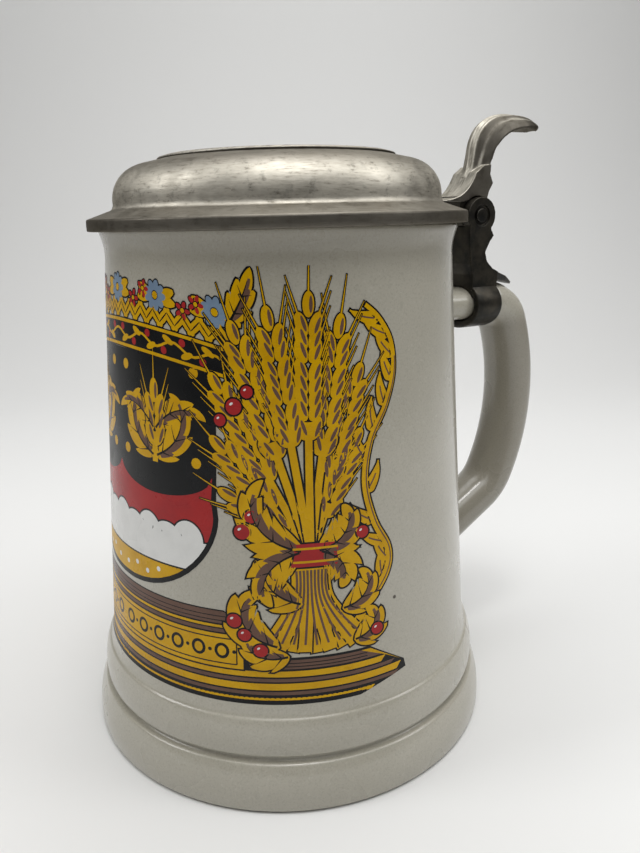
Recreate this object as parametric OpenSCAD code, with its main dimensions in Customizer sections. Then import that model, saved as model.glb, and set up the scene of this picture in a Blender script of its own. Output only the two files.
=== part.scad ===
// Half-litre stoneware beer stein with a hinged pewter lid.
// Origin: centre of the foot plane on the mug's axis. +Z is up and +X points to the handle.
// The hinge turns about a line parallel to Y.

/* [Mug body] */
// Height of the mug from the foot to the rim
body_h = 128.3; // [126:0.1:130]
// Radius of the foot at its widest
foot_r = 53.8; // [53:0.1:55]
// Radius of the raised band above the foot
band_r = 51.4; // [51:0.1:52]
// Radius of the wall where it leaves the band
wall_low_r = 48.5; // [48:0.1:49]
// Radius of the wall just under the lip
wall_high_r = 42.6; // [42:0.1:43]
// Thickness of the stoneware wall
wall_t = 4.8; // [4:0.1:5]
// Thickness of the floor above the foot recess
floor_t = 5; // [4:0.5:7]

/* [Lid] */
// Radius of the flat flange
flange_r = 46.1; // [45:0.1:47]
// Thickness of the flange's edge
flange_t = 2.7; // [2.5:0.1:3.2]
// Depth by which the flange's edge laps down over the mug's lip
flange_lap = 1.2; // [0.8:0.1:1.2]
// Radius of the dome at its foot
dome_r = 39.7; // [39:0.1:40.5]
// Thickness of the pewter shell
shell_t = 1.7; // [1.4:0.1:2]
// Radius of the raised disc on top
medallion_r = 28.7; // [26:0.1:29]
// Angle at which the closed lid sits, its hinge side the higher
lid_tilt = 0.9; // [0:0.1:1]

/* [Handle] */
// Half thickness of the handle in its own plane
grip_a = 6.5; // [6:0.1:7]
// Half width of the handle across its plane
grip_b = 8.2; // [8:0.1:9]
// Half thickness of the neck under the strap
neck_a = 5.1; // [5:0.1:5.5]
// Half width of the neck under the strap
neck_b = 7.9; // [7:0.1:7.9]
// Height of the neck's centre line
neck_z = 105; // [104.5:0.1:105.5]

/* [Hinge] */
// Distance from the mug's axis to the hinge pin
pivot_x = 61; // [60.5:0.1:61.5]
// Height of the hinge pin
pivot_z = 130; // [129.5:0.1:130.5]
// Radius of the hinge knuckles
knuckle_r = 5; // [4.8:0.1:5.2]
// Width of the whole hinge along its pin
hinge_w = 14.4; // [14:0.1:16]
// Radius of the steel pin
pin_r = 1.5; // [1.4:0.05:1.6]
// Radial clearance of the lid's knuckle on the pin
pin_play = 0.05; // [0.02:0.01:0.09]
// Width of the strap along the handle's neck
strap_w = 9.5; // [9:0.1:9.5]
// Thickness of the strap
strap_t = 2.2; // [1.8:0.1:2.4]

/* [Fired transfer] */
// Direction of the transfer's centre, measured from the handle
transfer_turn = 185; // [170:1:190]
// Part of the circle that the transfer covers
transfer_span = 182; // [150:1:184]
// Thickness of the fired film
transfer_t = 0.12; // [0.1:0.01:0.2]

/* [Hidden] */
$fn = 96;

stoneware = [0.70, 0.69, 0.66];
enamel = [0.80, 0.62, 0.12];
pewter = [0.62, 0.61, 0.58];
dark_pewter = [0.28, 0.28, 0.27];
steel = [0.45, 0.45, 0.46];

// The wall is a plain cone between these two heights
wall_low_z = 27.8;
wall_high_z = 121.5;
wall_slope = (wall_low_r - wall_high_r) / (wall_high_z - wall_low_z);

// Heights between which the film lies
film_low_z = 25;
film_high_z = wall_high_z - 1;

// Foot, groove and band
foot_bulge_z = 3;
foot_curve_r = 18;
foot_edge_r = 1.3;
foot_top_angle = 26;
foot_top = [foot_r - 1.8, 10.9];
foot_ring_inner_r = 45;
recess_depth = 3;
groove_z = 12.4;
groove_r = band_r - 0.8;
band_z = 15.5;
band_curve_r = 16;
band_low_angle = -7;
band_top_angle = 24;
band_fair_z = 25.4;
corner_r = 7;

// Lip
lip_r = wall_high_r + 1;
lip_inner_r = wall_high_r - wall_t + 0.5;
lip_round_r = 0.9;
lip_edge_z = body_h - 1.2;

// Lid heights
seat_gap = 0.2;
seat_z = body_h + seat_gap;
lap_play = 0.5;
lap_r = lip_r + lap_play;
flange_z = body_h - flange_lap;
flange_top_z = flange_z + flange_t;
dome_foot_z = flange_top_z + 2.1;
dome_curve_r = 8.3;
dome_curve_z = 133.6;
dome_end_angle = 80;
crown_z = 142.8;
flange_bevel = 0.3;
disc_t = 0.5;
relief_t = 0.9;

// Handle centre line: a straight neck, then three arcs, then a straight tail to the wall
neck_end_x = 69.2;
neck_step_x = 68;
arc_r = [9, 62.3, 15];
arc_turn = [68.75, 47.05, 34.2];
tail_len = 30;
oval_sides = 36;

// Hinge
ear_w = 2.85;
side_play = 0.15;
tongue_w = hinge_w - 2 * ear_w - 2 * side_play;
cap_r = 1.9;
cap_groove_r = 2.95;
cap_depth = 0.8;
cap_proud = 0.1;
knuckle_gap = 0.3;
arm_low_z = 131.9;
arm_top_z = 133.9;
arm_w = 12;
arm_start_x = 36;
arm_neck_x = 54;
strap_gap = 0.1;
strap_start_x = neck_step_x - strap_gap - strap_w;
arm_seat_t = 0.5;
arm_end_gap = 1;
lift_w = 10;

// Points along an arc of radius r about [x, y], from angle a0 to a1
function arc_points(x, y, r, a0, a1, n = 12) =
    [for (i = [0:n]) let (a = a0 + (a1 - a0) * i / n) [x + r * cos(a), y + r * sin(a)]];

// Points along a quadratic curve from p to q, pulled towards c; the first point is left out
function curve_points(p, c, q, n = 8) =
    [for (i = [1:n]) let (t = i / n) (1 - t) * (1 - t) * p + 2 * t * (1 - t) * c + t * t * q];

// Oval with half axes a and b
function oval_points(a, b, n = oval_sides) =
    [for (i = [0:n - 1]) [a * cos(i * 360 / n), b * sin(i * 360 / n)]];

// Radius of the wall's outer face at height z
function wall_r(z) = wall_high_r + wall_slope * (wall_high_z - z);

// Outer side of the mug from the foot's edge up to the top of the lip
function mug_side() =
    let (
        band_axis_r = band_r - band_curve_r,
        band_top = [band_axis_r, band_z] + band_curve_r * [cos(band_top_angle), sin(band_top_angle)],
        lip_low = [wall_high_r, wall_high_z]
    )
    concat(
        arc_points(foot_r - foot_edge_r, foot_edge_r, foot_edge_r, -90, 0, 6),
        arc_points(foot_r - foot_curve_r, foot_bulge_z, foot_curve_r, 0, foot_top_angle, 8),
        curve_points(foot_top, [groove_r, groove_z - 0.5], [groove_r, groove_z], 4),
        arc_points(band_axis_r, band_z, band_curve_r, band_low_angle, band_top_angle, 12),
        curve_points(band_top, [wall_r(band_fair_z), band_fair_z], [wall_r(wall_low_z), wall_low_z]),
        [lip_low],
        curve_points(lip_low, [wall_high_r - 0.15, wall_high_z + 2.5], [lip_r, lip_edge_z], 6),
        arc_points(lip_r - lip_round_r, body_h - lip_round_r, lip_round_r, 0, 90, 5)
    );

// Solid of the mug's outside, used to trim what is joined to its wall
module mug_outside() {
    rotate_extrude()
        polygon(concat([[0, 0]], mug_side(), [[0, body_h]]));
}

module mug_body() {
    floor_z = recess_depth + floor_t;
    inner_low_z = floor_z + corner_r;
    color(stoneware)
        rotate_extrude()
            polygon(concat(
                [[0, recess_depth], [foot_ring_inner_r - 2, recess_depth], [foot_ring_inner_r, 0]],
                mug_side(),
                arc_points(lip_inner_r + lip_round_r, body_h - lip_round_r, lip_round_r, 90, 180, 5),
                [[wall_r(wall_high_z) - wall_t, wall_high_z]],
                arc_points(wall_r(inner_low_z) - wall_t - corner_r, inner_low_z, corner_r, 0, -90, 8),
                [[0, floor_z]]
            ));
}

// A straight oval bar of half height a and half width b, from x0 to x1 at height z
module oval_bar(a, b, x0, x1, z) {
    translate([x0, 0, z])
        rotate([90, 0, 90])
            linear_extrude(x1 - x0)
                polygon(oval_points(b, a));
}

// Stations on one arc of the handle's centre line: [x, z, heading, half thickness, half width]
function arc_stations(centre, radius, start, turn, n) =
    [for (i = [1:n]) let (a = start - turn * i / n)
        [centre[0] + radius * cos(a), centre[1] + radius * sin(a), a - 90, grip_a, grip_b]];

// Stations along the whole handle, from inside the wall at the neck to inside the wall at the tail
function handle_stations() =
    let (
        angle_1 = 90 - arc_turn[0],
        angle_2 = angle_1 - arc_turn[1],
        angle_3 = angle_2 - arc_turn[2],
        centre_1 = [neck_end_x, neck_z - arc_r[0]],
        centre_2 = centre_1 + (arc_r[0] - arc_r[1]) * [cos(angle_1), sin(angle_1)],
        centre_3 = centre_2 + (arc_r[1] - arc_r[2]) * [cos(angle_2), sin(angle_2)],
        tail = centre_3 + arc_r[2] * [cos(angle_3), sin(angle_3)],
        end = tail + tail_len * [sin(angle_3), -cos(angle_3)]
    )
    concat(
        [[38, neck_z, 0, neck_a, neck_b], [neck_step_x, neck_z, 0, neck_a, neck_b]],
        [[neck_end_x, neck_z, 0, grip_a, grip_b]],
        arc_stations(centre_1, arc_r[0], 90, arc_turn[0], 9),
        arc_stations(centre_2, arc_r[1], angle_1, arc_turn[1], 14),
        arc_stations(centre_3, arc_r[2], angle_2, arc_turn[2], 6),
        [[end[0], end[1], angle_3 - 90, grip_a, grip_b]]
    );

// Smooth tube through the stations, oval at each one
module oval_sweep(stations, sides) {
    last = len(stations) - 1;
    corners = [
        for (s = stations) for (i = [0:sides - 1])
            let (up = s[3] * sin(i * 360 / sides), across = s[4] * cos(i * 360 / sides))
                [s[0] - up * sin(s[2]), across, s[1] + up * cos(s[2])]
    ];
    skin = [
        for (k = [0:last - 1]) for (i = [0:sides - 1])
            let (j = (i + 1) % sides, low = k * sides, high = low + sides)
                each [[low + i, low + j, high + j], [low + i, high + j, high + i]]
    ];
    near_end = [for (i = [0:sides - 1]) sides - 1 - i];
    far_end = [for (i = [0:sides - 1]) last * sides + i];
    polyhedron(corners, concat(skin, [near_end, far_end]));
}

module handle() {
    color(stoneware)
        difference() {
            oval_sweep(handle_stations(), oval_sides);
            mug_outside();
        }
}

// Thin fired film on the plain part of the wall and on the top of the curve below it
module front_transfer() {
    under = [for (p = mug_side()) if (p[1] > film_low_z && p[1] <= wall_low_z) p];
    face = concat(under, [[wall_r(film_high_z), film_high_z]]);
    last = len(face) - 1;
    color(enamel)
        rotate([0, 0, transfer_turn - transfer_span / 2])
            rotate_extrude(angle = transfer_span)
                polygon(concat(face, [for (i = [0:last]) face[last - i] + [transfer_t, 0]]));
}

// Outer side of the lid from the flange's lower edge to the crown
function lid_side() =
    concat(
        [[flange_r, flange_z], [flange_r - 0.1, flange_top_z - flange_bevel]],
        [[flange_r - 0.1 - flange_bevel, flange_top_z]],
        [[dome_r + 1, dome_foot_z - 0.3], [dome_r + 0.3, dome_foot_z]],
        arc_points(dome_r - dome_curve_r, dome_curve_z, dome_curve_r, 0, dome_end_angle, 14),
        [[medallion_r, crown_z]]
    );

// Seats the lid: its far side is down on the rim and it is tilted up towards the hinge
module seated() {
    translate([-lip_r, 0, flange_z])
        rotate([0, -lid_tilt, 0])
            translate([lip_r, 0, -flange_z])
                children();
}

module lid_outside() {
    seated()
        rotate_extrude()
            polygon(concat([[0, flange_z]], lid_side(), [[0, crown_z]]));
}

module lid() {
    inner_r = dome_curve_r - shell_t;
    color(pewter)
        seated()
            rotate_extrude()
                polygon(concat(
                    [[dome_r - shell_t, seat_z], [lap_r, seat_z], [lap_r, flange_z]],
                    lid_side(),
                    [[0, crown_z], [0, crown_z - shell_t]],
                    arc_points(dome_r - dome_curve_r, dome_curve_z, inner_r, dome_end_angle, 0, 10)
                ));
}

// Raised disc with a plain rim, a leaf wreath and a rosette
module lid_medallion() {
    leaves = 24;
    petals = 8;
    wreath_r = 20.5;
    leaf_r = 3.6;
    leaf_shift = 2.2;
    leaf_lean = 25;
    rim_outer_r = medallion_r - 1.2;
    rim_inner_r = medallion_r - 2.4;
    petal_ring_r = 6.5;
    petal_r = 3;
    heart_r = 4;
    color(pewter)
        seated()
            translate([0, 0, crown_z]) {
                cylinder(r = medallion_r, h = disc_t);
                difference() {
                    cylinder(r = rim_outer_r, h = relief_t);
                    translate([0, 0, -1])
                        cylinder(r = rim_inner_r, h = relief_t + 2);
                }
                for (i = [0:leaves - 1])
                    rotate([0, 0, i * 360 / leaves])
                        translate([wreath_r, 0, 0])
                            rotate([0, 0, leaf_lean])
                                intersection_for (side = [-1, 1])
                                    translate([side * leaf_shift, 0, 0])
                                        cylinder(r = leaf_r, h = relief_t + 0.4);
                for (i = [0:petals - 1])
                    rotate([0, 0, i * 360 / petals])
                        translate([petal_ring_r, 0, 0])
                            cylinder(r = petal_r, h = relief_t + 0.2);
                cylinder(r = heart_r, h = relief_t + 0.5);
            }
}

// Flat bar soldered to the flange, with the lid's knuckle at its end
module lid_arm() {
    color(dark_pewter)
        difference() {
            union() {
                translate([arm_start_x, -arm_w / 2, flange_top_z - arm_seat_t])
                    cube([
                        flange_r - arm_start_x - arm_end_gap, arm_w, arm_top_z - flange_top_z + arm_seat_t
                    ]);
                translate([arm_start_x, -arm_w / 2, arm_low_z])
                    cube([arm_neck_x - arm_start_x, arm_w, arm_top_z - arm_low_z]);
                translate([arm_neck_x - 1, -tongue_w / 2, arm_low_z])
                    cube([pivot_x - arm_neck_x + 1, tongue_w, arm_top_z - arm_low_z]);
                translate([pivot_x, tongue_w / 2, pivot_z])
                    rotate([90, 0, 0])
                        cylinder(r = knuckle_r, h = tongue_w);
            }
            lid_outside();
            hinge_bore(pin_r + pin_play);
        }
}

// Round hole along the hinge line
module hinge_bore(r) {
    translate([pivot_x, hinge_w, pivot_z])
        rotate([90, 0, 0])
            cylinder(r = r, h = 2 * hinge_w);
}

// Side outline of the thumblift in the X-Z plane
function lift_outline() =
    let (
        toe = [50.5, arm_top_z],
        ridge = [59.7, 140.6],
        waist = [61.2, 147],
        top = [75.5, 158.2],
        tip = [86.8, 154.6],
        under = [85.5, 153.8],
        heel = [65.8, 143.4]
    )
    concat(
        [toe],
        curve_points(toe, [57, arm_top_z + 0.4], ridge),
        curve_points(ridge, [60.9, 143.4], waist, 4),
        curve_points(waist, [62.1, 158.2], top, 12),
        curve_points(top, [85.3, 158.2], tip, 8),
        curve_points(under, [69.5, 153.6], heel, 12),
        [[65.4, 141.2], [66.6, 138.9], [65.2, 136.6], [64.6, 134.6], [62, 132], [54, 132]]
    );

module thumblift() {
    color(pewter)
        difference() {
            intersection() {
                translate([0, lift_w / 2, 0])
                    rotate([90, 0, 0])
                        linear_extrude(lift_w)
                            polygon(lift_outline());
                translate([0, 0, 120])
                    linear_extrude(50)
                        polygon([
                            [50, -2], [54, -lift_w / 2], [76, -lift_w / 2], [84, -4.2], [87, -2.4],
                            [87, 2.4], [84, 4.2], [76, lift_w / 2], [54, lift_w / 2], [50, 2]
                        ]);
            }
            translate([40, -arm_w, arm_top_z - 5])
                cube([arm_neck_x - 40, 2 * arm_w, 5]);
            translate([arm_neck_x - 1, -tongue_w / 2, arm_top_z - 5])
                cube([pivot_x - arm_neck_x + 1, tongue_w, 5]);
            for (side = [-1, 1])
                translate([pivot_x, side * (tongue_w / 2 + 5), pivot_z])
                    rotate([90, 0, 0])
                        cylinder(r = knuckle_r + knuckle_gap, h = 10, center = true);
            translate([pivot_x, tongue_w / 2, pivot_z])
                rotate([90, 0, 0])
                    cylinder(r = knuckle_r, h = tongue_w);
        }
}

// Oval ring closed round the handle's neck
module handle_strap() {
    color(dark_pewter)
        difference() {
            oval_bar(neck_a + strap_t, neck_b + strap_t, strap_start_x, strap_start_x + strap_w, neck_z);
            oval_bar(neck_a, neck_b, strap_start_x - 1, strap_start_x + strap_w + 1, neck_z);
        }
}

// Upright between the strap and the pin, with two ears and a pointed tail over the handle
module hinge_shank() {
    inner = [
        [58.4, 108], [58.4, 113.6], [57.5, 116.6], [57, 120.6], [56.7, 125], [56.7, pivot_z]
    ];
    outer = [
        [65.2, pivot_z - 1.8], [64.6, 126.4], [65.8, 124.4], [64.3, 122.6], [62.8, 119.8],
        [63.7, 117.2], [66, 115.2], [69, 113.9], [75, 112.4], [80.2, 110.3],
        [79.6, 109.7], [75, 110.8], [69, 111.6], [67.9, 111.6], [67.9, 108]
    ];
    color(dark_pewter)
        difference() {
            union() {
                intersection() {
                    translate([0, hinge_w / 2, 0])
                        rotate([90, 0, 0])
                            linear_extrude(hinge_w)
                                polygon(concat(inner, outer));
                    translate([0, 0, 100])
                        linear_extrude(40)
                            polygon([
                                [55, -hinge_w / 2], [67.9, -hinge_w / 2], [74, -4.4], [80.2, -0.4],
                                [80.2, 0.4], [74, 4.4], [67.9, hinge_w / 2], [55, hinge_w / 2]
                            ]);
                }
                for (side = [-1, 1])
                    translate([pivot_x, side * (hinge_w - ear_w) / 2, pivot_z])
                        rotate([90, 0, 0])
                            cylinder(r = knuckle_r, h = ear_w, center = true);
            }
            // room for the lid's knuckle
            translate([pivot_x, 0, pivot_z])
                rotate([90, 0, 0])
                    cylinder(r = knuckle_r + knuckle_gap, h = tongue_w + 2 * side_play, center = true);
            translate([pivot_x - 2 * knuckle_r, -tongue_w / 2 - side_play, pivot_z])
                cube([4 * knuckle_r, tongue_w + 2 * side_play, 2 * knuckle_r]);
            hinge_bore(pin_r);
            for (side = [-1, 1])
                translate([pivot_x, side * (hinge_w / 2 - cap_depth / 2 + 0.5), pivot_z])
                    rotate([90, 0, 0])
                        cylinder(r = cap_groove_r, h = cap_depth + 1, center = true);
            oval_bar(neck_a + strap_t, neck_b + strap_t, 50, strap_start_x + strap_w, neck_z);
        }
}

module hinge_pin() {
    pin_len = hinge_w - 2 * cap_depth;
    color(steel)
        translate([pivot_x, pin_len / 2, pivot_z])
            rotate([90, 0, 0])
                cylinder(r = pin_r, h = pin_len);
}

// Disc closing one end of the pin, on the side given
module pin_cap(side) {
    color(dark_pewter)
        translate([pivot_x, side * (hinge_w / 2 - cap_depth / 2 + cap_proud / 2), pivot_z])
            rotate([90, 0, 0])
                cylinder(r = cap_r, h = cap_depth + cap_proud, center = true);
}

mug_body();
handle();
front_transfer();
lid();
lid_medallion();
lid_arm();
thumblift();
hinge_shank();
handle_strap();
hinge_pin();
pin_cap(-1);  // pin_cap_front
pin_cap(1);  // pin_cap_back
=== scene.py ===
"""Looks of the half-litre beer stein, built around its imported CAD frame.

Lengths in the builders are millimetres and become metres in make_mesh(). +Z is up, +X points to the
handle, and the hinge line runs along Y.
"""

import math

import bmesh
import bpy
from mathutils import Matrix, Vector
from mathutils.geometry import delaunay_2d_cdt


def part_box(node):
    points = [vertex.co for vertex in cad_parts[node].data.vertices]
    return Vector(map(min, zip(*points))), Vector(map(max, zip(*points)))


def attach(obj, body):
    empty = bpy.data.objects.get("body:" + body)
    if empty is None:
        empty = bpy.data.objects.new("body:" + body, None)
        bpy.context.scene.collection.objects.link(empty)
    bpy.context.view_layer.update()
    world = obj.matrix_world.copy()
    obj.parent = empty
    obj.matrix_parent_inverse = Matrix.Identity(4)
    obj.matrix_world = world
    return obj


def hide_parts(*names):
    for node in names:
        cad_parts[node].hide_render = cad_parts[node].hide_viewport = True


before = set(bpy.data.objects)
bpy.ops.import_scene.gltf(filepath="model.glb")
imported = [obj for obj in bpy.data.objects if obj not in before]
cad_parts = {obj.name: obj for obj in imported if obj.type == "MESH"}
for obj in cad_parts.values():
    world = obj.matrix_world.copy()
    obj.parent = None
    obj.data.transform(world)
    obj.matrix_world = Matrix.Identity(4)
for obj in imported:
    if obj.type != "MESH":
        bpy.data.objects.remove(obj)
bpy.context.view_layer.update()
MM = 0.001


# ---------------------------------------------------------------- sizes read from the frame

def low(node):
    """Lowest corner of a CAD node in millimetres."""
    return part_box(node)[0] / MM


def high(node):
    """Highest corner of a CAD node in millimetres."""
    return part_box(node)[1] / MM


RIM_Z = high("mug_body").z
FOOT_R = high("mug_body").x
BAND_R = FOOT_R - 2.4
WALL_LOW_R, WALL_LOW_Z = 48.5, 27.8
WALL_HIGH_R, WALL_HIGH_Z = 42.6, 121.5
WALL_SLOPE = (WALL_LOW_R - WALL_HIGH_R) / (WALL_HIGH_Z - WALL_LOW_Z)
WALL_T = 4.8
LIP_R = WALL_HIGH_R + 1
FOOT_CURVE_R, FOOT_BULGE_Z = 18, 3
BAND_CURVE_R, BAND_BULGE_Z = 16, 15.5
BAND_TOP_ANGLE = math.radians(24)
BAND_TOP = (BAND_R - BAND_CURVE_R * (1 - math.cos(BAND_TOP_ANGLE)),
            BAND_BULGE_Z + BAND_CURVE_R * math.sin(BAND_TOP_ANGLE))
FAIR_Z = 25.4
FLOOR_Z = 8
INNER_CORNER_R = 7
RECESS_Z = 3

LID_TILT = 0.9
FLANGE_R = 46.1
FLANGE_Z = RIM_Z - 1.2
SEAT_Z = RIM_Z + 0.2
LAP_R = LIP_R + 0.5
FLANGE_TOP_Z = FLANGE_Z + 2.7
CROWN_Z = 142.8
DOME_R = 39.7
DOME_FOOT_Z = 131.55
SHOULDER_R, SHOULDER_Z = 8.3, 133.6
SHELL_T = 1.7
DISC_R = high("lid_medallion").y

STRAP_X0, STRAP_X1 = low("handle_strap").x, high("handle_strap").x
NECK_Z = (low("handle_strap").z + high("handle_strap").z) / 2
NECK_A, NECK_B = 5.1, 7.9
GRIP_A, GRIP_B = 6.5, 8.2
STRAP_T = high("handle_strap").y - NECK_B

PIVOT_X = (low("hinge_pin").x + high("hinge_pin").x) / 2
PIVOT_Z = (low("hinge_pin").z + high("hinge_pin").z) / 2
PIN_R = (high("hinge_pin").z - low("hinge_pin").z) / 2
PIN_END = high("hinge_pin").y
CAP_END = high("pin_cap_back").y
CAP_R = (high("pin_cap_back").z - low("pin_cap_back").z) / 2
KNUCKLE_R = 5.0
HINGE_HALF = high("hinge_shank").y
TONGUE_HALF = 4.2
ARM_UNDER_Z, ARM_TOP_Z = 131.85, 133.9
ARM_HALF = high("lid_arm").y
LIFT_HALF = high("thumblift").y
LIFT_TIP_X = high("thumblift").x
LIFT_TOP_Z = high("thumblift").z


# ---------------------------------------------------------------- mesh helpers

def make_mesh(name, corners, faces, smooth=True):
    """A mesh object from corners in millimetres."""
    mesh = bpy.data.meshes.new(name)
    mesh.from_pydata([Vector(c) * MM for c in corners], [], faces)
    mesh.validate()
    mesh.update()
    obj = bpy.data.objects.new(name, mesh)
    bpy.context.scene.collection.objects.link(obj)
    for face in mesh.polygons:
        face.use_smooth = smooth
    return obj


def toward(degrees):
    """Unit vector at this angle in a flat drawing."""
    return Vector((math.cos(math.radians(degrees)), math.sin(math.radians(degrees))))


def turns(n):
    """Angles of n equal steps round a circle."""
    return [2 * math.pi * k / n for k in range(n)]


def smooth_step(a, b, x):
    """0 before a and 1 after b, with an eased rise between."""
    t = min(1, max(0, (x - a) / (b - a)))
    return t * t * (3 - 2 * t)


def both_sides(points):
    """An outline from the points of one side and their mirror image across the x axis."""
    return points + [(x, -y) for x, y in points[::-1]]


def arc(x, z, r, a0, a1, n):
    """Points along an arc about (x, z), angles in degrees."""
    angles = [math.radians(a0 + (a1 - a0) * i / n) for i in range(n + 1)]
    return [(x + r * math.cos(a), z + r * math.sin(a)) for a in angles]


def curve(p, c, q, n):
    """Points along a quadratic curve from p to q pulled towards c, without p itself."""
    points = []
    for i in range(1, n + 1):
        t = i / n
        points.append(tuple((1 - t) ** 2 * p[k] + 2 * t * (1 - t) * c[k] + t * t * q[k] for k in (0, 1)))
    return points


def line(p, q, n):
    """Points along a straight line from p to q, without p itself."""
    return [(p[0] + (q[0] - p[0]) * i / n, p[1] + (q[1] - p[1]) * i / n) for i in range(1, n + 1)]


def rounded(points, r, n=3):
    """The closed outline with each corner cut back by up to r and rounded."""
    out = []
    count = len(points)
    for i in range(count):
        p, a, b = (Vector(points[k % count]) for k in (i, i - 1, i + 1))
        back = min(r, (a - p).length * 0.45)
        ahead = min(r, (b - p).length * 0.45)
        start = p + (a - p).normalized() * back
        end = p + (b - p).normalized() * ahead
        out.append(tuple(start))
        out.extend(curve(tuple(start), tuple(p), tuple(end), n))
    return out


def revolve(name, outline, sides):
    """A turned piece from a closed outline of (radius, z) points; a radius of 0 becomes one point."""
    corners, rings = [], []
    for r, z in outline:
        if r < 1e-6:
            rings.append([len(corners)] * sides)
            corners.append((0, 0, z))
            continue
        rings.append(list(range(len(corners), len(corners) + sides)))
        corners += [(r * math.cos(a), r * math.sin(a), z) for a in turns(sides)]
    faces = []
    for lower, upper in zip(rings, rings[1:] + rings[:1]):
        for k in range(sides):
            quad = [lower[k], lower[(k + 1) % sides], upper[(k + 1) % sides], upper[k]]
            face = list(dict.fromkeys(quad))
            if len(face) > 2:
                faces.append(face)
    return make_mesh(name, corners, faces)


def loft(name, rings, close_ends=True):
    """Skin through closed rings that have the same number of corners."""
    sides = len(rings[0])
    corners = [c for ring in rings for c in ring]
    faces = []
    for i in range(len(rings) - 1):
        for k in range(sides):
            j = (k + 1) % sides
            faces.append([i * sides + k, i * sides + j, (i + 1) * sides + j, (i + 1) * sides + k])
    if close_ends:
        faces.append(list(range(sides))[::-1])
        faces.append([(len(rings) - 1) * sides + k for k in range(sides)])
    obj = make_mesh(name, corners, faces)
    face_outwards(obj)
    return obj


def reshape(obj, change):
    """Calls change with the editable mesh of a piece and writes the result back."""
    work = bmesh.new()
    work.from_mesh(obj.data)
    change(work)
    work.to_mesh(obj.data)
    work.free()


def face_outwards(obj):
    """Turns every face to the outside of a closed mesh."""
    reshape(obj, lambda work: bmesh.ops.recalc_face_normals(work, faces=work.faces))


def extruded(name, near, far):
    """A closed solid between two outlines that have the same number of corners."""
    n = len(near)
    faces = [list(range(n)), list(range(n, 2 * n))[::-1]]
    faces += [[i, n + i, n + (i + 1) % n, (i + 1) % n] for i in range(n)]
    obj = make_mesh(name, near + far, faces, smooth=False)
    face_outwards(obj)
    return obj


def prism(name, outline, y0, y1):
    """A closed solid from an outline of (x, z) points, between two values of y."""
    return extruded(name, [(x, y0, z) for x, z in outline], [(x, y1, z) for x, z in outline])


def plan_prism(name, outline, z0, z1):
    """A closed solid from an outline of (x, y) points, between two heights."""
    return extruded(name, [(x, y, z0) for x, y in outline], [(x, y, z1) for x, y in outline])


def block(name, x0, x1, half, z0, z1):
    """A box that reaches half to each side of the middle plane."""
    return plan_prism(name, both_sides([(x0, -half), (x1, -half)]), z0, z1)


def drum(name, r, y0, y1, sides=72):
    """A closed cylinder along the hinge line."""
    outline = [(PIVOT_X + p[0], PIVOT_Z + p[1]) for p in arc(0, 0, r, 0, 360 * (1 - 1 / sides), sides - 1)]
    return prism(name, outline, y0, y1)


def apply_modifier(obj, kind, **settings):
    """Adds a modifier with these settings and bakes it into the mesh."""
    modifier = obj.modifiers.new(kind, kind)
    for key, value in settings.items():
        setattr(modifier, key, value)
    graph = bpy.context.evaluated_depsgraph_get()
    mesh = bpy.data.meshes.new_from_object(obj.evaluated_get(graph))
    obj.modifiers.clear()
    old = obj.data
    obj.data = mesh
    bpy.data.meshes.remove(old)


def combine(base, others, operation):
    """Joins, cuts or trims base with the other closed solids, which are used up."""
    for other in others:
        apply_modifier(base, "BOOLEAN", operation=operation, object=other, solver="EXACT")
        bpy.data.objects.remove(other)


def cast(obj, voxel, passes):
    """Gives a solid the softened edges of a casting."""
    apply_modifier(obj, "REMESH", mode="VOXEL", voxel_size=voxel * MM, use_smooth_shade=True)
    apply_modifier(obj, "SMOOTH", factor=0.5, iterations=passes)
    for face in obj.data.polygons:
        face.use_smooth = True


# ---------------------------------------------------------------- material helpers

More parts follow.
